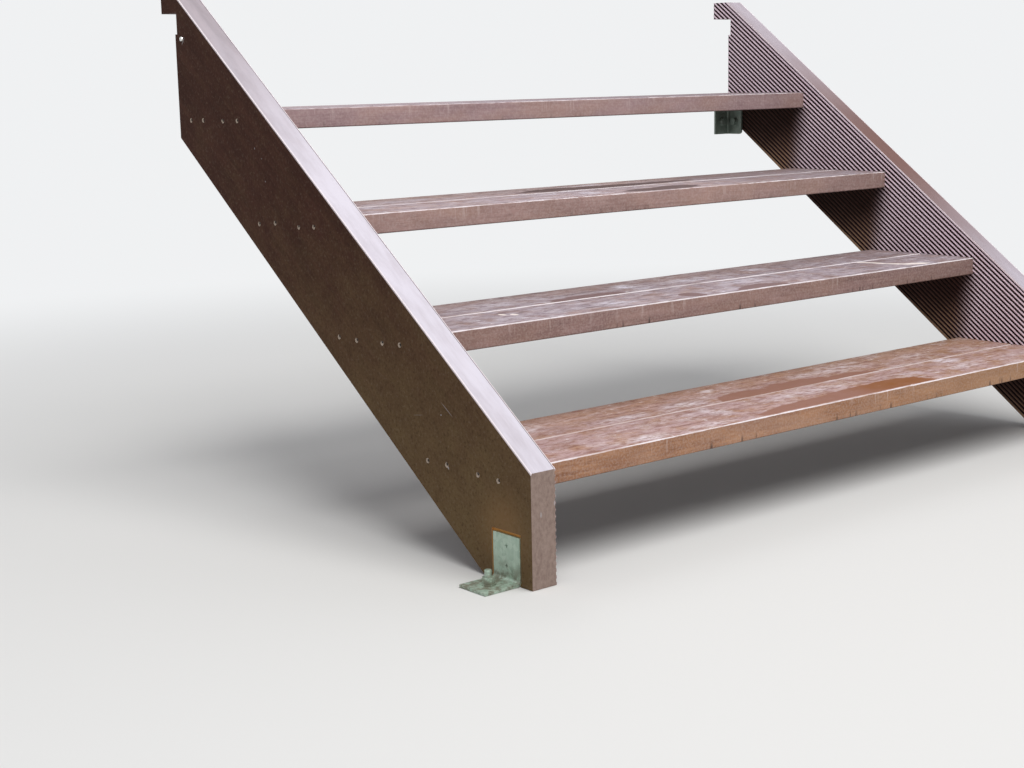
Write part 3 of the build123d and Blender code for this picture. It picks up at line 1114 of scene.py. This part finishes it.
washer = rod((anchor_x, bar_middle, washer_top - washer_thickness / 2), washer_radius,
             washer_thickness, sides=40)
cut_away(washer, rod((anchor_x, bar_middle, washer_top), washer_hole_radius, 0.02, sides=32))
ease(washer, 0.0004, 2, outline_edge)
nut = rod((anchor_x, bar_middle, washer_top + nut_height / 2), nut_radius, nut_height,
          (0.0, 0.0, 0.3), 6)
ease(nut, 0.0009, 2, lambda edge: abs(edge.verts[0].co.z - edge.verts[1].co.z) < 1e-5)
thread = rod((anchor_x, bar_middle, foot_level + 0.001 + thread_pitch / 2), stud_radius,
             thread_pitch, sides=28, end_radius=stud_root_radius)
repeat(thread, thread_turns, (0.0, 0.0, thread_pitch))
fixings = [washer, nut, thread]
for z in screw_heights:
    head = rod((outer_face + 0.0018, bar_middle, z), head_radius, head_height, sideways,
               end_radius=head_end_radius)
    cut_cross(head, outer_face - 0.001, outer_face + cross_depth, bar_middle, z,
              cross_width, cross_length)
    fixings.append(head)
left_fixings = join(fixings, "left_foot_fixings")
dress(left_fixings, steel_material)
for piece in (left_fixings, mirrored(left_fixings, "right_foot_fixings")):
    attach(piece, "root")


# Top brackets
# Short lengths of galvanised angle, with one rounded lower corner, hold the stringers' heads from
# inside, just under the highest tread. A hexagon-headed coach screw goes through each leg.
angle_leg, angle_thickness, angle_height, angle_corner = 0.050, 0.005, 0.062, 0.008
angle_top = -tread_thickness - 0.003
angle_low = angle_top - angle_height
bolt_hole_radius = 0.0055
washer_radius, washer_thickness = 0.0105, 0.0020
hexagon_radius, hexagon_height = 0.0098, 0.0070
neck_radius, neck_length = 0.0050, 0.0048

left_top = block((inner_face, -angle_leg, angle_low), (inner_face + angle_leg, 0.0, angle_top))
hollow = block(
    (inner_face + angle_thickness, -angle_leg - past, angle_low - past),
    (inner_face + angle_leg + past, -angle_thickness, angle_top + past),
)
ease(hollow, angle_thickness, 6, lambda edge: all(
    hypot(v.co.x - inner_face - angle_thickness, v.co.y + angle_thickness) < 1e-5 for v in edge.verts
))
cut_away(left_top, hollow)
ease(left_top, angle_corner, 6, lambda edge: all(
    v.co.y < 1e-5 - angle_leg and v.co.z < angle_low + 1e-5 for v in edge.verts
))
ease(left_top, 0.0007, 2, outline_edge)
hole_out = angle_thickness + (angle_leg - angle_thickness) / 2
hole_level = (angle_top + angle_low) / 2
cut_away(left_top, rod((inner_face + hole_out, 0.0, hole_level), bolt_hole_radius, 0.03,
                       (pi / 2, 0.0, 0.0)))
cut_away(left_top, rod((inner_face, -hole_out, hole_level), bolt_hole_radius, 0.03, sideways))

# One coach screw, modelled upright on its washer's underside and then copied
washer = rod((0.0, 0.0, washer_thickness / 2), washer_radius, washer_thickness, sides=36)
ease(washer, 0.0004, 2, outline_edge)
hexagon_middle = washer_thickness + hexagon_height / 2
hexagon = rod((0.0, 0.0, hexagon_middle), hexagon_radius, hexagon_height, sides=6)
ease(hexagon, 0.0009, 2, lambda edge: all(v.co.z > hexagon_middle for v in edge.verts))
neck = rod((0.0, 0.0, -neck_length / 2), neck_radius, neck_length, sides=24)
coach_screw = join([washer, hexagon, neck], "coach_screw")
bolts = [
    placed_copy(coach_screw, (inner_face + hole_out, -angle_thickness, hole_level), (pi / 2, 0.3, 0.0)),
    placed_copy(coach_screw, (inner_face + angle_thickness, -hole_out, hole_level), sideways),
]
bpy.data.objects.remove(coach_screw)
left_bolts = join(bolts, "left_top_bolts")

for side, bracket, bolted in (
    ("left", left_top, left_bolts),
    ("right", mirrored(left_top, "right_top_angle"), mirrored(left_bolts, "right_top_bolts")),
):
    bracket.name = f"{side}_top_angle"
    for piece in (bracket, bolted):
        dress(piece, steel_material)
        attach(piece, "root")
    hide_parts(f"{side}_top_bracket")


# Face fixings
# One bright zinc-plated screw on each stringer's outer face, near the head. Its low round head has
# a cross recess and stands proud of the wood.
head_radius, head_height, head_rounding = 0.0048, 0.0026, 0.0008
cross_width, cross_length, cross_depth = 0.0011, 0.0052, 0.0014
face_y, face_z = -0.0237, 0.1338
head_middle = outer_face - head_height / 2

left_face_screw = rod((head_middle, face_y, face_z), head_radius, head_height, (0.0, -pi / 2, 0.0),
                      end_radius=head_radius * 0.8)
ease(left_face_screw, head_rounding, 3, lambda edge: all(v.co.x < head_middle for v in edge.verts))
cut_cross(left_face_screw, outer_face - past, outer_face - head_height + cross_depth, face_y, face_z,
          cross_width, cross_length)
left_face_screw.name = "left_face_screw"

zinc_material, shader, place = new_material("bright_zinc", 0.25, 0.5)
put(0.9, shader.inputs["Metallic"])
mottle = ramp(noise(place, 500.0, 2.0), 0.4, 0.6)
put(blend(mottle, (0.80, 0.80, 0.74), (0.93, 0.94, 0.95)), shader.inputs["Base Color"])
dress(left_face_screw, zinc_material)
for piece in (left_face_screw, mirrored(left_face_screw, "right_face_screw")):
    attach(piece, "root")


low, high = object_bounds()
